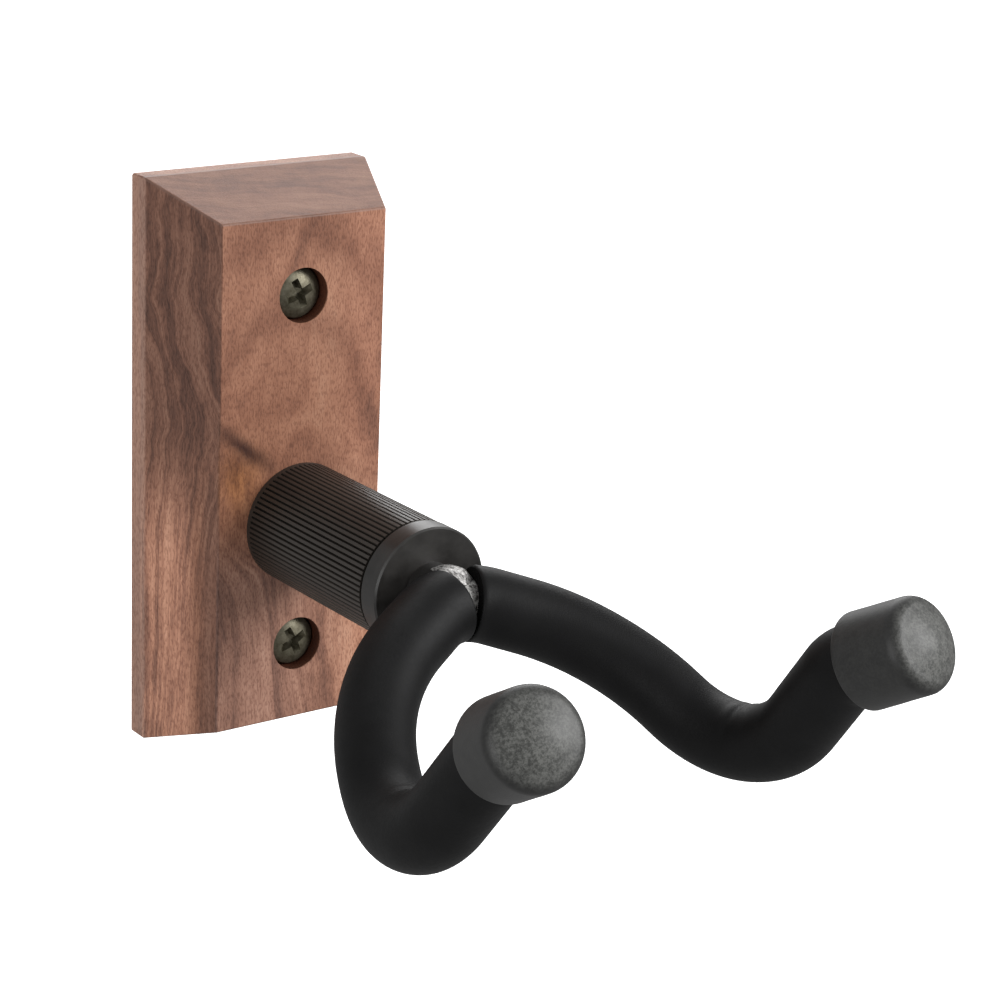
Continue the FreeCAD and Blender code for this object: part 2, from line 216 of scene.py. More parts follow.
    def feed(self, socket, value):
        self.tree.links.new(value, self.shader.inputs[socket])


def block_faces(look, x, y, z):
    """Masks of the left bevel, the top bevel, the thin left side and the front face."""
    from_front = look.math("ADD", y, BLOCK_DEPTH)
    below_left = look.total(look.times(x, -1.0), look.times(from_front, -SIDE_SLOPE), -FACE_HALF_WIDTH)
    below_top = look.total(z, look.times(from_front, -END_SLOPE), -FACE_HALF_HEIGHT)
    left = look.between(below_left, -0.40, -0.15)
    top = look.between(below_top, -0.40, -0.15)
    strip = look.between(x, -22.2, -22.45)
    front = look.between(y, -19.6, -19.9)
    return left, top, strip, front


def figure(look, x, y, z, front, left, low, high, waver):
    """Where a point lies among the growth layers. The layers stand across Y, drift
    and waver; from above the barrel down to it they sweep forward."""
    drift = look.noise(look.scaled(look.place, (0.035, 0.035, 0.018)), 2.0)
    ripple = look.times(look.noise(look.scaled(look.place, (0.10, 0.10, 0.14)), 2.0), high)
    arch = look.hump(x, z, (-6.0, 22.0), (17.0, 26.0))
    sweep = look.between(look.total(z, look.times(x, 0.55), 9.0), 25.0, 7.0)
    return look.total(
        y,
        look.times(x, 0.20),
        look.times(z, 0.02),
        look.times(arch, 4.0),
        look.times(sweep, 6.0),
        look.times(look.times(ripple, left), 4.0),
        look.times(drift, 8.0),
        look.times(waver, 2.6),
        look.times(look.times(look.times(low, front), x), 0.35),
    )


def knot(look, colour, x, z, front, mottle, waver):
    """The figure at the upper left of the barrel: golden brown, under a dark crescent."""
    gold = look.times(look.hump(x, z, (-12.5, 0.5), (4.8, 6.0)), front)
    golden = look.ramp(mottle, [(0.35, (0.130, 0.046, 0.018)), (0.65, (0.350, 0.145, 0.056))])
    colour = look.mix(look.times(gold, 0.90), colour, golden)
    run = look.total(look.times(x, 0.63), look.times(z, 0.77), look.times(waver, 2.4), 1.6)
    crescent = look.times(look.ridge(run, 0.0, 1.5), look.hump(x, z, (-11.0, 7.0), (7.5, 8.0)))
    return look.tint(colour, look.times(crescent, front), 1.0, (0.16, 0.12, 0.13))


def arches(look, colour, x, z, front, waver):
    """Two darker arches in the front face, above the barrel."""
    bow = look.length(look.total(x, 3.0), look.times(z, 0.6))
    bow = look.total(bow, look.times(waver, 3.0), -1.5)
    both = look.larger(look.ridge(bow, 17.5, 1.7), look.ridge(bow, 26.5, 2.2))
    mask = look.times(look.times(both, front), look.between(z, 4.0, 16.0))
    return look.tint(colour, mask, 0.50, (0.50, 0.42, 0.40))


def painted_seat_shade(look, colour, x, y, z):
    """Painted shade inside the drilled seats of the screws: the bores' walls are darkened where they lie
    in shadow.
    """
    from_screw = look.math("SUBTRACT", look.math("ABSOLUTE", z), SCREW_HEIGHT)
    near = look.between(look.length(x, from_screw), SEAT_RADIUS + 0.2, SEAT_RADIUS)
    inside = look.times(look.between(y, -19.97, -19.6), look.between(y, -0.02, -0.3))
    return look.tint(colour, look.times(near, inside), 1.0, (0.20, 0.13, 0.10))


def walnut():
    """Oiled walnut cut from one plank: fine wavy lines on the bevels, broad arches on
    the front, and pores that run along Z."""
    look = Look("walnut", {"Specular IOR Level": 0.35})
    x, y, z = look.coordinates()
    left, top, strip, front = block_faces(look, x, y, z)
    low = look.between(z, -6.0, -20.0)
    high = look.between(z, -16.0, 12.0)
    waver = look.noise(look.scaled(look.place, (0.12, 0.12, 0.05)), 2.0)
    layer = figure(look, x, y, z, front, left, low, high, waver)
    wide = look.vector(look.times(layer, 0.27), look.times(x, 0.04), look.times(z, 0.010))
    fine = look.vector(look.times(layer, 1.55), look.times(x, 0.10), look.times(z, 0.016))
    broad = look.noise(wide, 2.0)
    lines = look.noise(fine, 4.0, 0.66)
    fibre = look.noise(look.scaled(look.place, (4.5, 4.5, 0.45)), 2.0, 0.6)
    mottle = look.noise(look.scaled(look.place, (0.40, 0.40, 0.17)), 3.0, 0.6)
    # the lines show most on the bevel and the side, least on the front
    lined = look.times(left, look.span(high, 0.60, 1.0))
    contrast = look.larger(look.larger(lined, strip), look.times(top, 0.45))
    contrast = look.span(look.larger(contrast, look.times(low, 0.55)), 0.24, 0.95)
    tone = look.total(
        look.swing(broad, 0.80),
        look.swing(lines, contrast),
        look.swing(fibre, 0.26),
        look.swing(mottle, 0.36),
        0.5,
    )
    colour = look.ramp(tone, [
        (0.18, (0.085, 0.038, 0.025)),
        (0.36, (0.195, 0.086, 0.054)),
        (0.50, (0.312, 0.141, 0.086)),
        (0.64, (0.410, 0.200, 0.125)),
        (0.82, (0.500, 0.275, 0.180)),
    ])
    # heartwood on the left bevel: dark and cool above, tan below, a dark seam by the arris
    seam = look.times(look.between(x, -18.2, -17.2), look.between(z, 14.0, -4.0))
    heart = look.times(left, look.larger(high, seam))
    colour = look.tint(colour, heart, 0.80, (0.54, 0.55, 0.60))
    tan = look.times(look.times(left, look.between(z, 8.0, -16.0)), look.between(x, -18.0, -19.4))
    colour = look.tint(colour, tan, 0.75, (1.95, 2.10, 2.25))
    # plum tones below the barrel, a paler right, a browner middle, a darker top, a paler side
    plum = look.times(look.times(low, front), look.between(x, 16.0, -6.0))
    colour = look.tint(colour, plum, 0.60, (1.00, 1.22, 1.50))
    right = look.times(look.between(x, 4.0, 14.0), front)
    colour = look.tint(colour, right, 0.60, (1.38, 1.40, 1.44))
    middle = look.times(look.hump(x, z, (-2.0, 9.0), (15.0, 16.0)), front)
    colour = look.tint(colour, middle, 0.60, (0.68, 0.60, 0.55))
    colour = look.mix(look.times(top, 0.60), colour, (0.165, 0.098, 0.077))
    colour = look.mix(look.times(strip, 0.55), colour, (0.50, 0.31, 0.24))
    colour = knot(look, colour, x, z, front, mottle, waver)
    colour = arches(look, colour, x, z, front, waver)
    # painted shade on the walls of the screws' drilled seats
    colour = painted_seat_shade(look, colour, x, y, z)
    # pores: fine short dashes, fainter on the end grain
    pores = look.noise(look.scaled(look.place, (3.3, 3.3, 1.05)), 1.0, 0.5)
    pores = look.times(look.between(pores, 0.48, 0.62), look.span(top, 0.9, 0.3))
    colour = look.tint(colour, pores, 0.55, (0.46, 0.37, 0.34))
    look.feed("Base Color", colour)
    sheen = look.total(look.times(pores, 0.5), look.times(fibre, 0.5))
    look.feed("Roughness", look.span(sheen, 0.44, 0.64))
    look.bump(fibre, 0.04, 0.5)
    look.bump(look.math("SUBTRACT", 1.0, pores), 0.05, 0.5)
    return look.material


def black_paint():
    """Satin black paint over turned steel, with a faint orange peel and dust."""
    look = Look("black_paint", {"Specular IOR Level": 0.55})
    peel = look.noise(look.scaled(look.place, (2.2, 2.2, 2.2)), 3.0)
    dust = look.noise(look.scaled(look.place, (0.25, 0.25, 0.25)), 4.0, 0.6)
    look.feed("Base Color", look.ramp(dust, [(0.3, (0.012, 0.011, 0.010)), (0.75, (0.030, 0.028, 0.026))]))
    look.feed("Roughness", look.span(dust, 0.30, 0.46))
    look.bump(peel, 0.02, 0.5)
    return look.material


def black_barrel():
    """The same paint on the ribbed barrel, with a painted highlight on the rib crests that dims into
    painted shade towards the wood.
    """
    look = Look("black_barrel", {"Specular IOR Level": 0.5})
    x, y, z = look.coordinates()
    crest = look.between(look.length(x, look.math("ADD", z, AXIS_DROP)), 10.45, 10.8)
    grain = look.noise(look.scaled(look.place, (1.5, 0.3, 1.5)), 4.0, 0.6)
    # painted highlight on the rib crests, dimmed near the wood block as painted shade
    crest_highlight = look.times(crest, look.span(grain, 0.3, 1.0))
    crest_highlight = look.times(crest_highlight, look.span(look.between(y, -19.0, -36.0), 0.30, 1.0))
    colour = look.ramp(crest_highlight, [(0.0, (0.013, 0.011, 0.009)), (1.0, (0.046, 0.038, 0.032))])
    look.feed("Base Color", colour)
    look.feed("Roughness", look.span(grain, 0.36, 0.52))
    look.bump(grain, 0.02, 0.6)
    return look.material


def dark_bronze():
    """Burnished dark bronze plating, greener in the hollows, scratched by a driver."""
    look = Look("dark_bronze", {"Metallic": 0.75})
    cloud = look.noise(look.scaled(look.place, (0.9, 0.9, 0.9)), 4.0, 0.6)
    scratch = look.noise(look.scaled(look.place, (5.0, 1.0, 0.9)), 3.0, 0.6)
    colour = look.ramp(cloud, [(0.30, (0.085, 0.075, 0.048)), (0.70, (0.20, 0.185, 0.135))])
    look.feed("Base Color", colour)
    look.feed("Roughness", look.span(scratch, 0.34, 0.56))
    look.bump(scratch, 0.02, 0.4)
    return look.material


def plated_steel(name, low, high, roughness):
    """Plated or spring steel with a cloudy, finely scratched surface."""
    look = Look(name, {"Metallic": 1.0})
    cloud = look.noise(look.scaled(look.place, (0.5, 0.5, 0.5)), 4.0, 0.6)
    lines = look.noise(look.scaled(look.place, (0.4, 7.0, 0.4)), 3.0, 0.6)
    look.feed("Base Color", look.ramp(cloud, [(0.3, low), (0.7, high)]))
    look.feed("Roughness", look.span(lines, roughness - 0.08, roughness + 0.1))
    look.bump(lines, 0.01, 0.5)
    return look.material


def rod_steel():
    """Dull bare rod, bright with spatter beside the weld."""
    look = Look("rod_steel", {"Metallic": 0.9})
    x, _, _ = look.coordinates()
    near = look.between(look.math("ABSOLUTE", x), 6.0, 3.0)
    spatter = look.noise(look.scaled(look.place, (1.8, 1.3, 1.3)), 4.0, 0.65)
    dull = look.mix(spatter, (0.16, 0.16, 0.16), (0.30, 0.30, 0.30))
    bright = look.ramp(spatter, [(0.40, (0.10, 0.095, 0.09)), (0.60, (0.74, 0.73, 0.71))])
    look.feed("Base Color", look.mix(near, dull, bright))
    look.feed("Roughness", look.span(spatter, 0.36, 0.56))
    look.bump(spatter, 0.12, 0.7)
    return look.material


def weld_metal():
    """Rough silver weld: ripples, spatter and a little heat tint in the hollows."""
    look = Look("weld_metal", {"Metallic": 0.85})
    ripple = look.noise(look.scaled(look.place, (1.7, 1.2, 1.2)), 4.0, 0.65)
    pits = look.cells(look.scaled(look.place, (1.6, 1.6, 1.6)))
    colour = look.ramp(ripple, [
        (0.34, (0.060, 0.057, 0.052)),
        (0.48, (0.42, 0.41, 0.40)),
        (0.66, (0.80, 0.79, 0.77)),
    ])
    look.feed("Base Color", colour)
    look.feed("Roughness", look.span(pits, 0.30, 0.62))
    look.bump(ripple, 0.25, 0.8)
    look.bump(pits, 0.10, 0.5)
    return look.material


def spindle_steel():
    """Bare steel inside, the barrel's black paint on the stub in front of the disc."""
    look = Look("spindle_steel", {})
    _, y, _ = look.coordinates()
    painted = look.between(y, -59.0, -59.5)
    cloud = look.noise(look.scaled(look.place, (0.8, 0.8, 0.8)), 4.0, 0.6)
    steel = look.ramp(cloud, [(0.3, (0.38, 0.37, 0.36)), (0.7, (0.55, 0.54, 0.53))])
    look.feed("Base Color", look.mix(painted, steel, (0.016, 0.015, 0.014)))
    look.feed("Metallic", look.span(painted, 1.0, 0.0))
    look.feed("Roughness", look.span(cloud, 0.34, 0.50))
    look.bump(cloud, 0.02, 0.5)
    return look.material


def nylon(name, colour, shade):
    """Moulded nylon, slightly cloudy."""
    look = Look(name, {"Specular IOR Level": 0.45})
    cloud = look.noise(look.scaled(look.place, (0.7, 0.7, 0.7)), 3.0)
    look.feed("Base Color", look.ramp(cloud, [(0.3, shade), (0.7, colour)]))
    look.feed("Roughness", look.span(cloud, 0.45, 0.6))
    look.bump(cloud, 0.02, 0.4)
    return look.material


def black_foam():
    """Closed-cell foam skin: matt black, very fine cells, slightly uneven sheen."""
    look = Look("black_foam", {"Specular IOR Level": 0.16})
    cloud = look.noise(look.scaled(look.place, (0.16, 0.16, 0.16)), 3.0)
    cells = look.cells(look.scaled(look.place, (5.0, 5.0, 5.0)))
    skin = look.noise(look.scaled(look.place, (1.3, 1.3, 1.3)), 4.0, 0.6)
    colour = look.ramp(cloud, [(0.3, (0.0040, 0.0040, 0.0042)), (0.7, (0.0068, 0.0068, 0.0071))])
    look.feed("Base Color", colour)
    look.feed("Roughness", look.span(skin, 0.46, 0.62))
    look.bump(cells, 0.03, 0.35)
    look.bump(skin, 0.05, 0.30)
    return look.material


def shaded_cut_foam():
    """The foam's cut ends: matt open cells, with a colour darkened below the skin's as painted shade,
    since the ends face each other in shadow between the arms.
    """
    look = Look("shaded_cut_foam", {"Specular IOR Level": 0.06, "Roughness": 0.9})
    cells = look.cells(look.scaled(look.place, (3.2, 3.2, 3.2)))
    # painted shade: the cut cells are coloured darker than the foam's skin
    colour = look.ramp(cells, [(0.1, (0.0012, 0.0012, 0.0012)), (0.8, (0.0045, 0.0044, 0.0042))])
    look.feed("Base Color", colour)
    look.bump(cells, 0.15, 0.8)
    return look.material


def grey_rubber():
    """Moulded rubber: dark sides, a rounded edge darkened as painted shade, and a grainy front painted
    paler, with bright specks, as a painted highlight.
    """
    look = Look("grey_rubber", {"Specular IOR Level": 0.42})
    x, y, z = look.coordinates()
    outward = (ROD_CORNERS[-1] - ROD_CORNERS[-2]).normalized()
    parts = [
        look.times(look.math("ABSOLUTE", x), outward.x),
        look.times(y, outward.y),
        look.times(z, outward.z),
        -outward.dot(ROD_CORNERS[-1]) / MM,
    ]
    pushed_on = look.span(look.between(x, -1.0, 1.0), -CAP_SLIP[-1] / MM, -CAP_SLIP[1] / MM)
    behind_front = look.total(*parts, pushed_on)
    front = look.between(behind_front, -2.6, -0.8)
    # painted shade on the rounded edge between the front and the sides
    edge = look.ridge(behind_front, -2.0, 1.1)
    grain = look.noise(look.scaled(look.place, (2.3, 2.3, 2.3)), 3.0, 0.75)
    cloud = look.noise(look.scaled(look.place, (0.6, 0.6, 0.6)), 3.0)
    # grain specks on the sides; on the front they are painted glints
    speck_and_glint = look.between(look.total(look.times(grain, 0.7), look.times(cloud, 0.3)), 0.38, 0.64)
    # painted highlight: the front is coloured far paler than the sides
    face = look.mix(speck_and_glint, (0.036, 0.037, 0.034), (0.128, 0.129, 0.121))
    side = look.mix(speck_and_glint, (0.020, 0.020, 0.0196), (0.031, 0.031, 0.030))
    rubber = look.mix(front, side, face)
    look.feed("Base Color", look.tint(rubber, edge, 0.6, (0.50, 0.50, 0.50)))
    look.feed("Roughness", look.span(grain, 0.38, 0.58))
    look.bump(grain, 0.08, 0.35)
    return look.material


def floor_white():
    """White paper, with a glow of its own that keeps it plain white."""
    look = Look("floor_white", {"Roughness": 0.9, "Emission Color": (1.0, 1.0, 1.0, 1.0)})
    look.shader.inputs["Emission Strength"].default_value = 0.7
    cloud = look.noise(look.place, 2.0)
    look.feed("Base Color", look.ramp(cloud, [(0.2, (0.93, 0.93, 0.93)), (0.8, (0.96, 0.96, 0.96))]))
    return look.material


# ------------------------------------------------------------------ meshes


def new_piece(name, vertices, faces, material, body):
    """A mesh in the row frame that rides on a body."""
    mesh = bpy.data.meshes.new(name)
    mesh.from_pydata(vertices, [], faces)
    mesh.shade_smooth()
    return finish_piece(name, mesh, material, body)


def finish_piece(name, mesh, material, body):
    """Makes an object of a mesh, on a body and in a material slot of the CAD model."""
    mesh.materials.clear()
    mesh.materials.append(material)
    piece = bpy.data.objects.new(name, mesh)
    bpy.context.scene.collection.objects.link(piece)
    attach(piece, body)
    return piece


def ring_faces(rings, segments, closed):
    """Quads between successive rings of vertices; closed joins the last to the first."""
    faces = []
    for ring in range(rings if closed else rings - 1):
        here = ring * segments
        there = ((ring + 1) % rings) * segments
        for segment in range(segments):
            beside = (segment + 1) % segments
            faces.append((here + segment, here + beside, there + beside, there + segment))
    return faces


def mirrored(point):
    return Vector((-point.x, point.y, point.z))


def arm_line(side, step):
    """Points along the middle of one arm, with the direction to the inside of the
    bend at each (zero on a straight run), and the distance from the yoke's middle."""
    corners = [mirrored(ROD_CORNERS[1])] + ROD_CORNERS
    here = None
    points, inward = [], []
    for before, corner, after, radius in zip(corners, corners[1:], corners[2:], BEND_RADII):
        arriving = (corner - before).normalized()
        leaving = (after - corner).normalized()
        turn = arriving.angle(leaving)
        setback = radius * math.tan(turn / 2)
        start = corner - arriving * setback
        axis = arriving.cross(leaving).normalized()
        centre = start + axis.cross(arriving) * radius
        first = 0.0
        if here is None:
            first = turn / 2        # the arm begins halfway round the middle bend
        else:
            count = max(1, round((start - here).length / step))
            for index in range(count):
                points.append(here.lerp(start, index / count))
                inward.append(Vector())
        count = max(2, round(radius * (turn - first) / step))
        for index in range(count):
            angle = first + (turn - first) * index / count
            point = centre + Matrix.Rotation(angle, 3, axis) @ (start - centre)
            points.append(point)
            inward.append((centre - point).normalized())
        here = corner + leaving * setback
    count = max(1, round((corners[-1] - here).length / step))
    for index in range(count + 1):
        points.append(here.lerp(corners[-1], index / count))
        inward.append(Vector())
    if side < 0:
        points = [mirrored(point) for point in points]
        inward = [mirrored(direction) for direction in inward]
    distance = [0.0]
    for before, after in zip(points, points[1:]):
        distance.append(distance[-1] + (after - before).length)
    return points, inward, distance


def sleeve_profile(length):
    """(distance along the sleeve, radius) once round its section, bore included."""
    step = 0.6 * MM
    rim = 0.55 * MM
    count = round((length - 2 * rim) / step)
    outer = [(rim + (length - 2 * rim) * index / count, FOAM_RADIUS) for index in range(count + 1)]
    corner = [math.radians(angle) for angle in (15, 35, 60, 90)]
    start = [(rim * (1 - math.cos(a)), FOAM_RADIUS - rim * (1 - math.sin(a))) for a in corner]
    end = [(length - along, radius) for along, radius in reversed(start)]
    wall = [FOAM_BORE + 0.3 * MM, (FOAM_BORE + FOAM_RADIUS) / 2]
    face_in = [(0.06 * MM, FOAM_BORE), *[(0.0, radius) for radius in wall]]
    face_out = [(length, radius) for radius in reversed(wall)] + [(length - 0.06 * MM, FOAM_BORE)]
    bore = [(length * share, FOAM_BORE) for share in (0.9, 0.75, 0.6, 0.45, 0.3, 0.15, 0.06)]
    return face_in + start[:-1] + outer + end[1:] + face_out + bore


def foam_sleeve(side, material, cut):
    """One arm's foam tube: cut ends a little rounded, the inside of the dip pinched
    into a few soft folds, and the foam pushed aside where it meets the stub."""
    name = "foam_left" if side < 0 else "foam_right"
    points, inward, distance = arm_line(side, 0.3 * MM)
    first = FOAM_START[side]
    length = distance[-1] - TIP_GAP - first
    folds = fold_places(points, distance, side)
    profile = sleeve_profile(length)
    segments = 80
    vertices = []
    reference = Vector((0, 0, 1))
    stub = stub_place()
    for along, radius in profile:
        place, tangent, inside = sample(points, inward, distance, first + along)
        across = (reference - tangent * reference.dot(tangent)).normalized()
        other = tangent.cross(across)
        for segment in range(segments):
            angle = 2 * math.pi * segment / segments
            outward = across * math.cos(angle) + other * math.sin(angle)
            reach = radius
            if radius > 0.8 * FOAM_RADIUS:
                reach += uneven(place + outward * radius, 0.05 * MM, 60)
                reach -= pinch(first + along, outward, inside, folds)
            lean = reach * outward.dot(inside) * math.tan(FOAM_END_LEAN)
            lean *= max(0.0, 1.0 - along / LEAN_FADE)
            vertices.append(clear_of_stub(place + outward * reach - tangent * lean, stub))
    faces = ring_faces(len(profile), segments, True)
    piece = new_piece(name, vertices, faces, material, YOKE)
    piece.data.materials.append(cut)
    for index, polygon in enumerate(piece.data.polygons):
        if profile[index // segments][1] < CUT_RADIUS:
            polygon.material_index = 1
    fix_normals(piece)
    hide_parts("foam_sleeve_left" if side < 0 else "foam_sleeve_right")
    return piece


def stub_place():
    """A point on the swivel axis, at the front end of the stub's round side."""
    low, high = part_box("hub_barrel")
    axis = (low + high) / 2
    return Vector((axis.x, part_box("spindle")[0].y + STUB_TAPER, axis.z))


def sample(points, inward, distance, wanted):
    """The point, direction and inside of the bend at a distance along an arm."""
    last = len(points) - 1
    index = 0
    while index < last - 1 and distance[index + 1] < wanted:
        index += 1
    share = (wanted - distance[index]) / (distance[index + 1] - distance[index])
    place = points[index].lerp(points[index + 1], share)
    before = points[max(index - 1, 0)]
    after = points[min(index + 2, last)]
    return place, (after - before).normalized(), inward[index].lerp(inward[index + 1], share)


def fold_places(points, distance, side):
    """Distances along the arm of the folds inside the dip, with their depth and width."""
    corner = ROD_CORNERS[VALLEY_BEND]
    if side < 0:
        corner = mirrored(corner)
    nearest = min(range(len(points)), key=lambda index: (points[index] - corner).length)
    middle = distance[nearest]
    return [
        (middle + 0.6 * MM, 0.32 * MM, 1.0 * MM),
        (middle - 3.2 * MM, 0.06 * MM, 1.3 * MM),
        (middle + 4.4 * MM, 0.08 * MM, 1.4 * MM),
    ]


def pinch(along, outward, inside, folds):
    """How far the folds pull the surface in at this place."""
    if inside.length < 0.5:
        return 0.0
    facing = max(0.0, outward.dot(inside)) ** 3
    depth = 0.0
    for middle, fold_depth, width in folds:
        depth += fold_depth * math.exp(-((along - middle) / width) ** 2)
    return depth * facing


def uneven(point, amount, frequency):
    """A slow bumpiness of this amount; frequency is in cycles per metre."""
    return amount * noise.noise(point * frequency)


def clear_of_stub(point, stub):
    """Moves a point out of the stub that stands behind the rod."""
    offset = Vector((point.x - stub.x, 0, point.z - stub.z))
    if point.y < stub.y or offset.length >= STUB_RADIUS:
        return point
    return Vector((stub.x, point.y, stub.z)) + offset.normalized() * STUB_RADIUS


def fix_normals(piece):
    """Turns every face of the piece outwards."""
    mesh = bmesh.new()
    mesh.from_mesh(piece.data)
    bmesh.ops.recalc_face_normals(mesh, faces=mesh.faces)
    mesh.to_mesh(piece.data)
    mesh.free()


def arc(centre_along, centre_radius, size, start, end, count):
    """Points of a profile round a corner, angles in degrees from the radial direction."""
    result = []
    for index in range(count + 1):
        angle = math.radians(start + (end - start) * index / count)
        result.append((centre_along + size * math.sin(angle), centre_radius + size * math.cos(angle)))
    return result


def cap_profile():
    """(distance from the mouth, radius) from the socket's floor out to the front's middle."""
    front = CAP_LENGTH
    big_round = 2.4 * MM
    small = 0.45 * MM
    dome = 1.1 * MM
    shoulder = CAP_RADIUS - 0.12 * MM   # the sides draw in slightly towards the front
    inside = [(CAP_SOCKET_DEPTH, 0.3 * MM), (CAP_SOCKET_DEPTH, 3.5 * MM)]
    inside += [(CAP_SOCKET_DEPTH, CAP_SOCKET - 0.4 * MM), (CAP_SOCKET_DEPTH - 0.4 * MM, CAP_SOCKET)]
    inside += [(CAP_SOCKET_DEPTH * share, CAP_SOCKET) for share in (0.7, 0.45, 0.2)]
    lip_in = arc(0.25 * MM, CAP_SOCKET + 0.25 * MM, 0.25 * MM, 180, 270, 3)
    lip_out = arc(small, CAP_RADIUS - small, small, -90, 0, 5)
    straight = front - dome - big_round
    sides = []
    for index in range(1, 16):
        share = index / 16
        sides.append((small + (straight - small) * share, CAP_RADIUS + (shoulder - CAP_RADIUS) * share))
    edge = arc(straight, shoulder - big_round, big_round, 0, 84, 9)
    face = []
    edge_along, edge_radius = edge[-1]
    for index in range(1, 12):
        share = index / 12
        along = edge_along + (front - edge_along) * math.sin(math.pi / 2 * share)
        face.append((along, edge_radius * (1 - share)))
    return inside + lip_in + lip_out + sides + edge + face


def end_cap(side, material):
    """A moulded rubber cup on the tip of one arm."""
    name = "cap_left" if side < 0 else "cap_right"
    tip = ROD_CORNERS[-1]
    outward = (tip - ROD_CORNERS[-2]).normalized()
    tip = tip + outward * CAP_SLIP[side]
    if side < 0:
        tip = mirrored(tip)
        outward = mirrored(outward)
    mouth = tip - outward * CAP_LENGTH
    across = outward.orthogonal().normalized()
    other = outward.cross(across)
    segments = 96
    profile = cap_profile()
    vertices = []
    for along, radius in profile:
        for segment in range(segments):
            angle = 2 * math.pi * segment / segments
            direction = across * math.cos(angle) + other * math.sin(angle)
            point = mouth + outward * along + direction * radius
            vertices.append(point - direction * abs(uneven(point, 0.05 * MM, 140)))
    faces = ring_faces(len(profile), segments, False)
    floor = len(vertices)
    vertices.append(mouth + outward * profile[0][0])
    front = len(vertices)
    vertices.append(mouth + outward * profile[-1][0])
    last = (len(profile) - 1) * segments
    for segment in range(segments):
        beside = (segment + 1) % segments
        faces.append((floor, beside, segment))
        faces.append((front, last + segment, last + beside))
    piece = new_piece(name, vertices, faces, material, YOKE)
    fix_normals(piece)
    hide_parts("end_cap_left" if side < 0 else "end_cap_right")
    return piece


def weld(material):
    """The weld beads, remeshed finely and rippled."""
    source = NODES["weld_beads"]
    draft = bpy.data.objects.new("weld_draft", source.data.copy())
    bpy.context.scene.collection.objects.link(draft)
    remesh = draft.modifiers.new("remesh", "REMESH")
    remesh.mode = "VOXEL"
    remesh.voxel_size = 0.16 * MM
    smooth = draft.modifiers.new("smooth", "SMOOTH")
    smooth.iterations = 6
    evaluated = draft.evaluated_get(bpy.context.evaluated_depsgraph_get())
    mesh = bpy.data.meshes.new_from_object(evaluated)
    bpy.data.objects.remove(draft)
    mesh.name = "weld"
    sunk = 0.03 * MM
    normals = [vertex.normal.copy() for vertex in mesh.vertices]
    for vertex, normal in zip(mesh.vertices, normals):
        ripple = uneven(vertex.co, 0.16 * MM, 700) + uneven(vertex.co, 0.07 * MM, 1900)
        vertex.co += normal * (ripple - sunk)
    mesh.shade_smooth()
    piece = finish_piece("weld", mesh, material, YOKE)
    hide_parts("weld_beads")
    return piece


def threaded_end(axis, start, end):
    """Rings of a wood-screw thread along Y, from the shank to the point."""
    pitch = 2.0 * MM
    core = 1.55 * MM
    crest = 2.2 * MM
    point_length = 6.0 * MM
    run_in = 1.5 * MM           # the thread rises to its full height over this length
    ridge_share = 0.22          # half a ridge's width, as a share of the pitch
    tip_share = 0.06            # the point's own radius, as a share of the core's
    segments = 48
    rows = round((end - start) / (0.16 * MM))
    vertices = []
    for row in range(rows + 1):
        along = start + (end - start) * row / rows
        taper = min(1.0, (end - along) / point_length)
        begin = min(1.0, (along - start) / run_in)
        for segment in range(segments):
            phase = ((along - start) / pitch + segment / segments) % 1.0
            ridge = max(0.0, 1.0 - abs(phase - 0.5) / ridge_share)
            radius = core * max(taper, tip_share) ** 0.8
            radius += (crest - core) * ridge * begin * taper ** 0.7
            angle = 2 * math.pi * segment / segments
            offset = Vector((math.cos(angle), 0, math.sin(angle))) * radius
            vertices.append(Vector((axis.x, along, axis.z)) + offset)
    faces = ring_faces(rows + 1, segments, False)
    faces.append(tuple(range(segments)))
    faces.append(tuple(range(rows * segments, (rows + 1) * segments))[::-1])
    return vertices, faces


def wall_screw(node, name, material):
    """The CAD screw's head and shank, with a cut thread in place of the plain end."""
    low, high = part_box(node)
    shank_end = -0.4 * MM       # just before the wall, where the CAD screw's thread begins
    lap = 0.2 * MM
    mesh = bmesh.new()
    mesh.from_mesh(NODES[node].data)
    bmesh.ops.remove_doubles(mesh, verts=mesh.verts, dist=1e-6)
    geometry = mesh.verts[:] + mesh.edges[:] + mesh.faces[:]
    cut = bmesh.ops.bisect_plane(
        mesh, geom=geometry, plane_co=(0, shank_end, 0), plane_no=(0, 1, 0), clear_outer=True
    )
    rim = [item for item in cut["geom_cut"] if isinstance(item, bmesh.types.BMEdge)]
    bmesh.ops.contextual_create(mesh, geom=rim)
    head = bpy.data.meshes.new(name)
    mesh.to_mesh(head)
    mesh.free()
    axis = (low + high) / 2
    vertices, faces = threaded_end(axis, shank_end - lap, high.y)
    count = len(head.vertices)
    all_vertices = [vertex.co.copy() for vertex in head.vertices] + vertices
    all_faces = [tuple(face.vertices) for face in head.polygons]
    all_faces += [tuple(count + index for index in face) for face in faces]
    piece = new_piece(name, all_vertices, all_faces, material, BASE)
    piece.data.set_sharp_from_angle(angle=math.radians(32))
    fix_normals(piece)
    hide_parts(node)
    return piece


# ------------------------------------------------------------- the object


def paint_nodes(looks):
    """Gives every CAD node that stays visible its material."""
    for node, material in looks.items():
        mesh = NODES[node].data
        mesh.materials.clear()
        mesh.materials.append(material)


zinc = plated_steel("zinc_plate", (0.52, 0.53, 0.55), (0.70, 0.71, 0.72), 0.34)
spring = plated_steel("spring_steel", (0.10, 0.10, 0.11), (0.20, 0.20, 0.22), 0.38)
black = black_paint()
dark_nylon = nylon("black_nylon", (0.022, 0.022, 0.022), (0.012, 0.012, 0.012))
pale_nylon = nylon("white_nylon", (0.72, 0.73, 0.70), (0.60, 0.61, 0.58))
bronze = dark_bronze()
foam = black_foam()
cut = shaded_cut_foam()
rubber = grey_rubber()
welded = weld_metal()

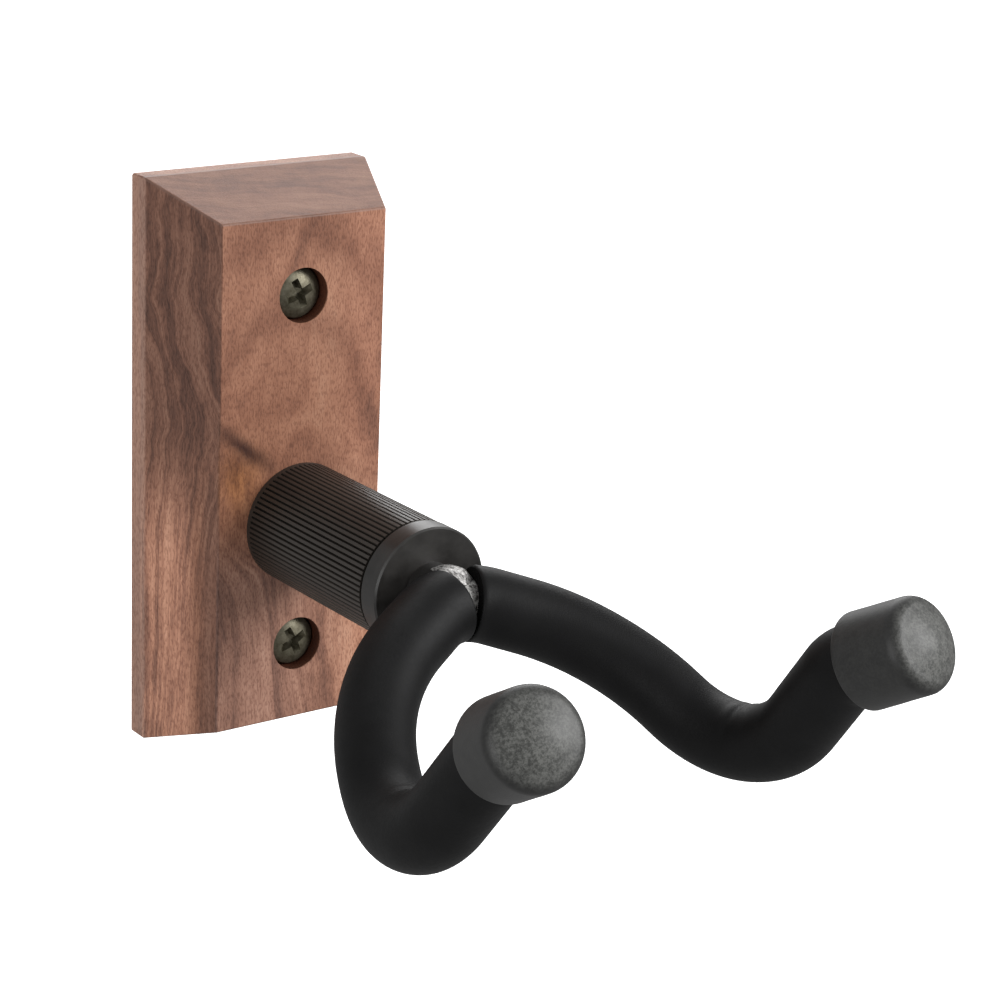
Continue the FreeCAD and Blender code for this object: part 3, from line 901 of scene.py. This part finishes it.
paint_nodes({
    "wood_block": walnut(),
    "hub_barrel": black_barrel(),
    "swivel_head": black,
    "spindle": spindle_steel(),
    "yoke_rod": rod_steel(),
    "rear_washer": zinc,
    "nut_washer": zinc,
    "lock_nut": zinc,
    "disc_spring": spring,
    "rear_bush": dark_nylon,
    "front_bush": dark_nylon,
    "thrust_washer": dark_nylon,
    "lock_nut_insert": pale_nylon,
    "wall_screw_upper": bronze,
    "wall_screw_lower": bronze,
    "weld_beads": welded,
    "foam_sleeve_left": foam,
    "foam_sleeve_right": foam,
    "end_cap_left": rubber,
    "end_cap_right": rubber,
})
for arm in (-1, 1):
    foam_sleeve(arm, foam, cut)
    end_cap(arm, rubber)
weld(welded)
wall_screw("wall_screw_upper", "screw_upper", bronze)
wall_screw("wall_screw_lower", "screw_lower", bronze)


# ------------------------------------------------- floor, light and camera


def lay_floor():
    """A pale floor below the hanger that neither lights it nor shows in its surfaces."""
    half = 6.0
    level = -0.30
    corners = [(-half, -half, level), (half, -half, level), (half, half, level), (-half, half, level)]
    mesh = bpy.data.meshes.new("floor")
    mesh.from_pydata(corners, [], [(0, 1, 2, 3)])
    mesh.materials.append(floor_white())
    floor = bpy.data.objects.new("floor", mesh)
    bpy.context.scene.collection.objects.link(floor)
    floor.visible_diffuse = False
    floor.visible_glossy = False


def softbox(name, place, size, power, target=Vector((0, -0.06, 0))):
    """A square area light that faces the object."""
    data = bpy.data.lights.new(name, "AREA")
    data.size = size
    data.energy = power
    light = bpy.data.objects.new(name, data)
    bpy.context.scene.collection.objects.link(light)
    light.location = place
    light.rotation_euler = (target - Vector(place)).to_track_quat("-Z", "Y").to_euler()


def light_studio():
    """A white room with a large key light from the right, a fill and a rim light."""
    world = bpy.data.worlds.new("studio")
    world.use_nodes = True
    background = world.node_tree.nodes["Background"]
    background.inputs["Color"].default_value = (1.0, 1.0, 1.0, 1.0)
    background.inputs["Strength"].default_value = 0.42
    bpy.context.scene.world = world
    softbox("key", (1.10, -1.12, 0.76), 0.9, 30.0)
    softbox("fill", (-1.45, -0.65, 0.30), 1.0, 10.0)
    softbox("rim", (0.90, 1.20, 0.85), 1.1, 13.0)


def place_camera():
    """In the room, to the left of the hanger and a little above it."""
    azimuth = math.radians(-36.48)
    elevation = math.radians(17.99)
    roll = math.radians(2.47)
    back = Vector((
        math.sin(azimuth) * math.cos(elevation),
        -math.cos(azimuth) * math.cos(elevation),
        math.sin(elevation),
    ))
    data = bpy.data.cameras.new("camera")
    place = Vector((-0.2559, -0.4253, 0.1518))
    data.lens = 102.9
    data.sensor_width = 36.0
    data.clip_start = 0.01
    data.clip_end = 50.0
    camera = bpy.data.objects.new("camera", data)
    bpy.context.scene.collection.objects.link(camera)
    turn = (-back).to_track_quat("-Z", "Y") @ Matrix.Rotation(roll, 3, "Z").to_quaternion()
    camera.rotation_mode = "QUATERNION"
    camera.rotation_quaternion = turn
    camera.location = place
    bpy.context.scene.camera = camera


lay_floor()
light_studio()
place_camera()
bpy.context.scene.view_settings.view_transform = "Standard"
